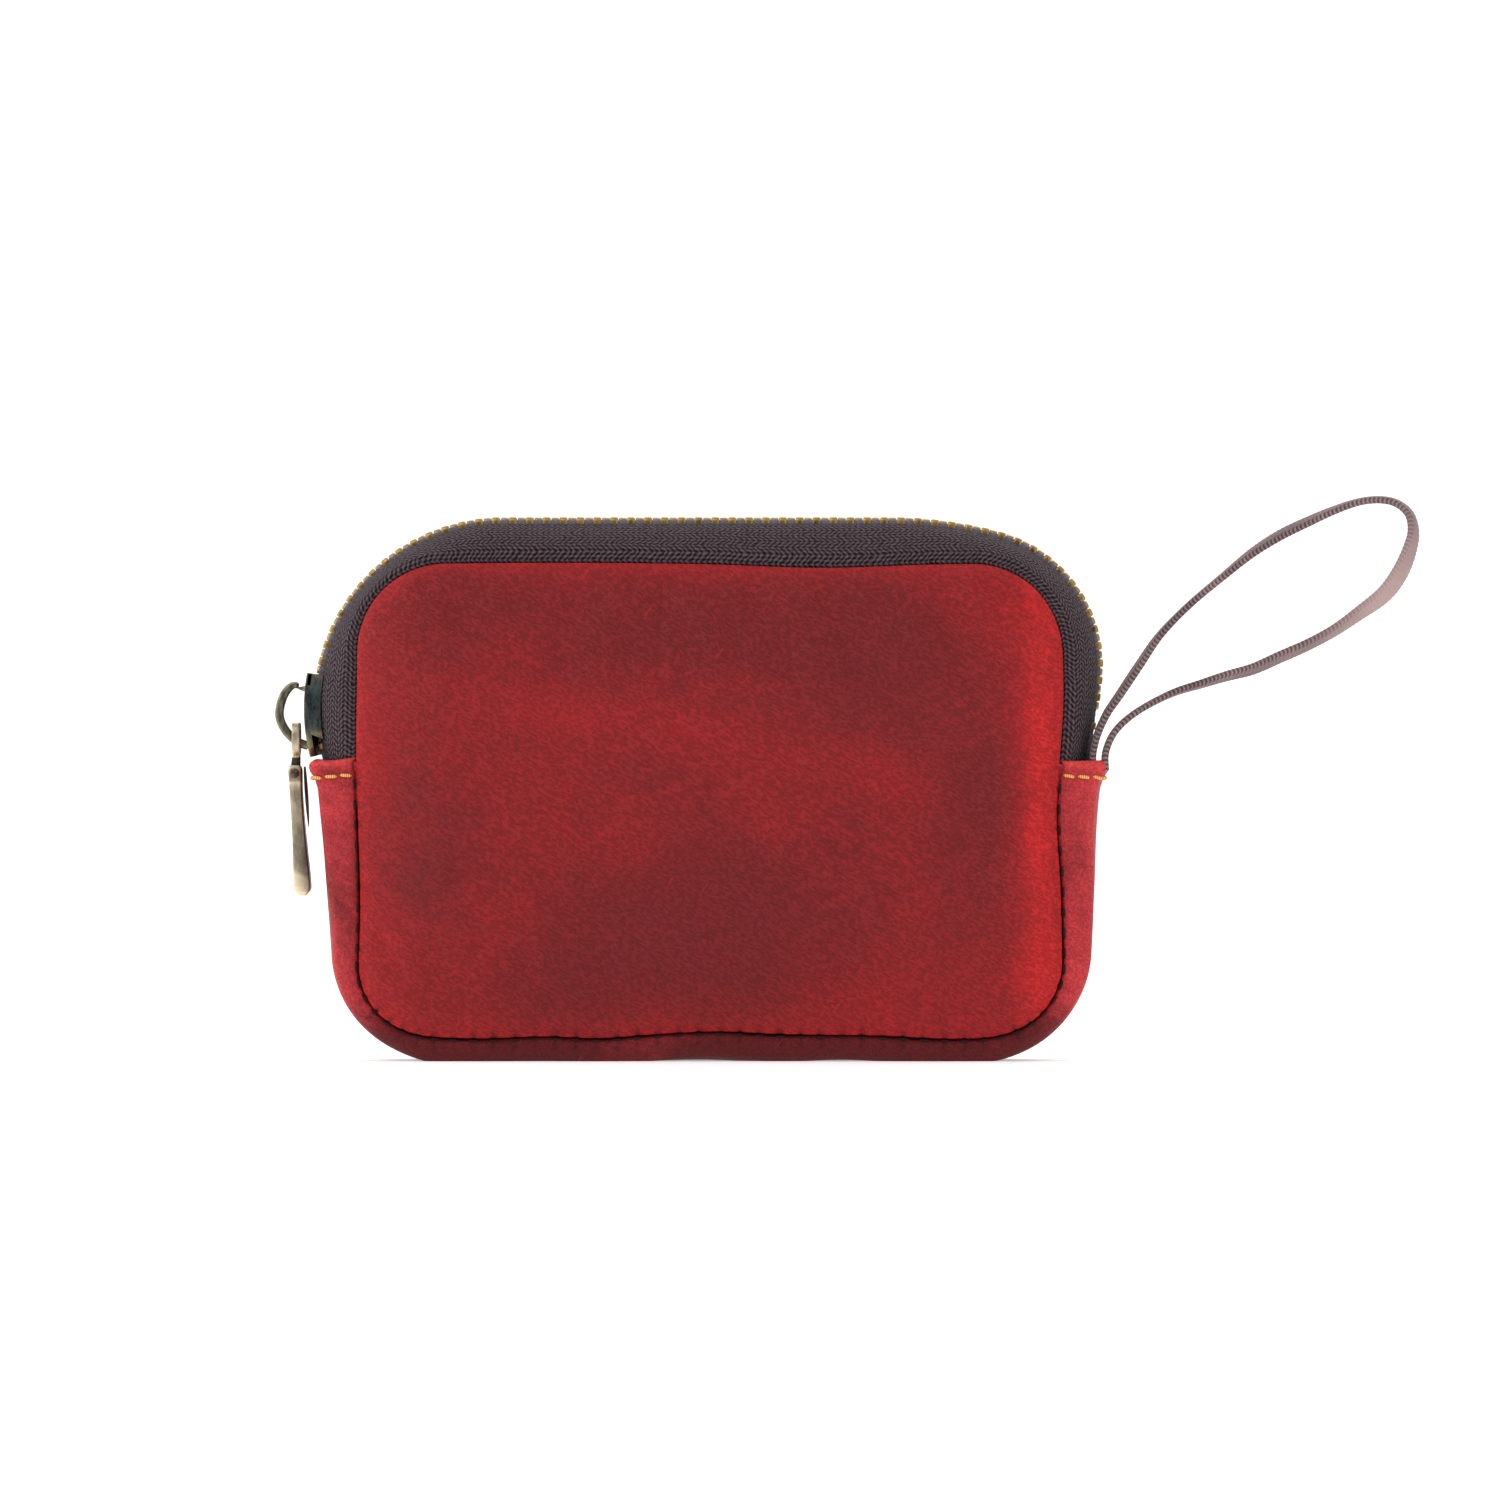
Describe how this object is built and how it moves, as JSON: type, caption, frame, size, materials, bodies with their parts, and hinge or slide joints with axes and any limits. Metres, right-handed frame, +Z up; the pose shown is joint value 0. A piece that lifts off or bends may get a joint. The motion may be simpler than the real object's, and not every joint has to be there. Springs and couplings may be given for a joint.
{
  "type": "zippered pouch",
  "caption": "Small leather pouch with a curved metal zip over the top and sides, a hinged metal pull and a braided wrist loop.",
  "frame": {"origin": "middle of the flat base of the gusset, on the surface that the pouch stands on", "axes": "+X along the pouch towards the wrist loop, +Y from the front panel to the back panel, +Z up"},
  "size_m": [0.1734, 0.0274, 0.0857],
  "materials": {
    "panel_leather": "waxed pull-up leather, patchy red, matte with a soft sheen",
    "gusset_leather": "soft waxed leather with fine grain",
    "zip_tape": "dark brown herringbone woven tape",
    "zip_teeth": "antique brass",
    "slider_metal": "blackened brass with worn edges",
    "pull_metal": "antique brass, brushed and worn bright at the end",
    "braid": "taupe herringbone braid",
    "seam_thread": "dark red polyester thread",
    "hem_thread": "ochre polyester thread"
  },
  "bodies": {
    "pouch": {"gusset": "gusset_leather", "front_panel": "panel_leather", "back_panel": "panel_leather", "zip_tape_front": "zip_tape", "zip_tape_back": "zip_tape", "zip_teeth_front": "zip_teeth", "zip_teeth_back": "zip_teeth", "top_stop_front": "zip_teeth", "top_stop_back": "zip_teeth", "bottom_stop": "zip_teeth", "seam_thread_front": "seam_thread", "seam_thread_back": "seam_thread", "hem_thread_left": "hem_thread", "hem_thread_right": "hem_thread", "wrist_loop": "braid"},
    "slider": {"slider_body": "slider_metal", "slider_crown": "slider_metal"},
    "link": {"pull_link": "pull_metal", "pull_leaf": "slider_metal"},
    "pull": {"pull_tab": "pull_metal", "pull_rivet": "pull_metal"}
  },
  "joints": [
    {"name": "slider_travel", "type": "hinge", "parent": "pouch", "child": "slider", "pos_m": [-0.0313, 0, 0.0535], "axis": [0, 1, 0], "range_deg": [0, 88], "deforming": ["zip_teeth_front", "zip_teeth_back"]},
    {"name": "link_swing", "type": "hinge", "parent": "slider", "child": "link", "pos_m": [-0.06275, 0, 0.0506], "axis": [0, 1, 0], "range_deg": [0, 95]},
    {"name": "pull_swing", "type": "hinge", "parent": "link", "child": "pull", "pos_m": [-0.06295, 0, 0.0436], "axis": [0, 1, 0], "range_deg": [0, 105]}
  ]
}
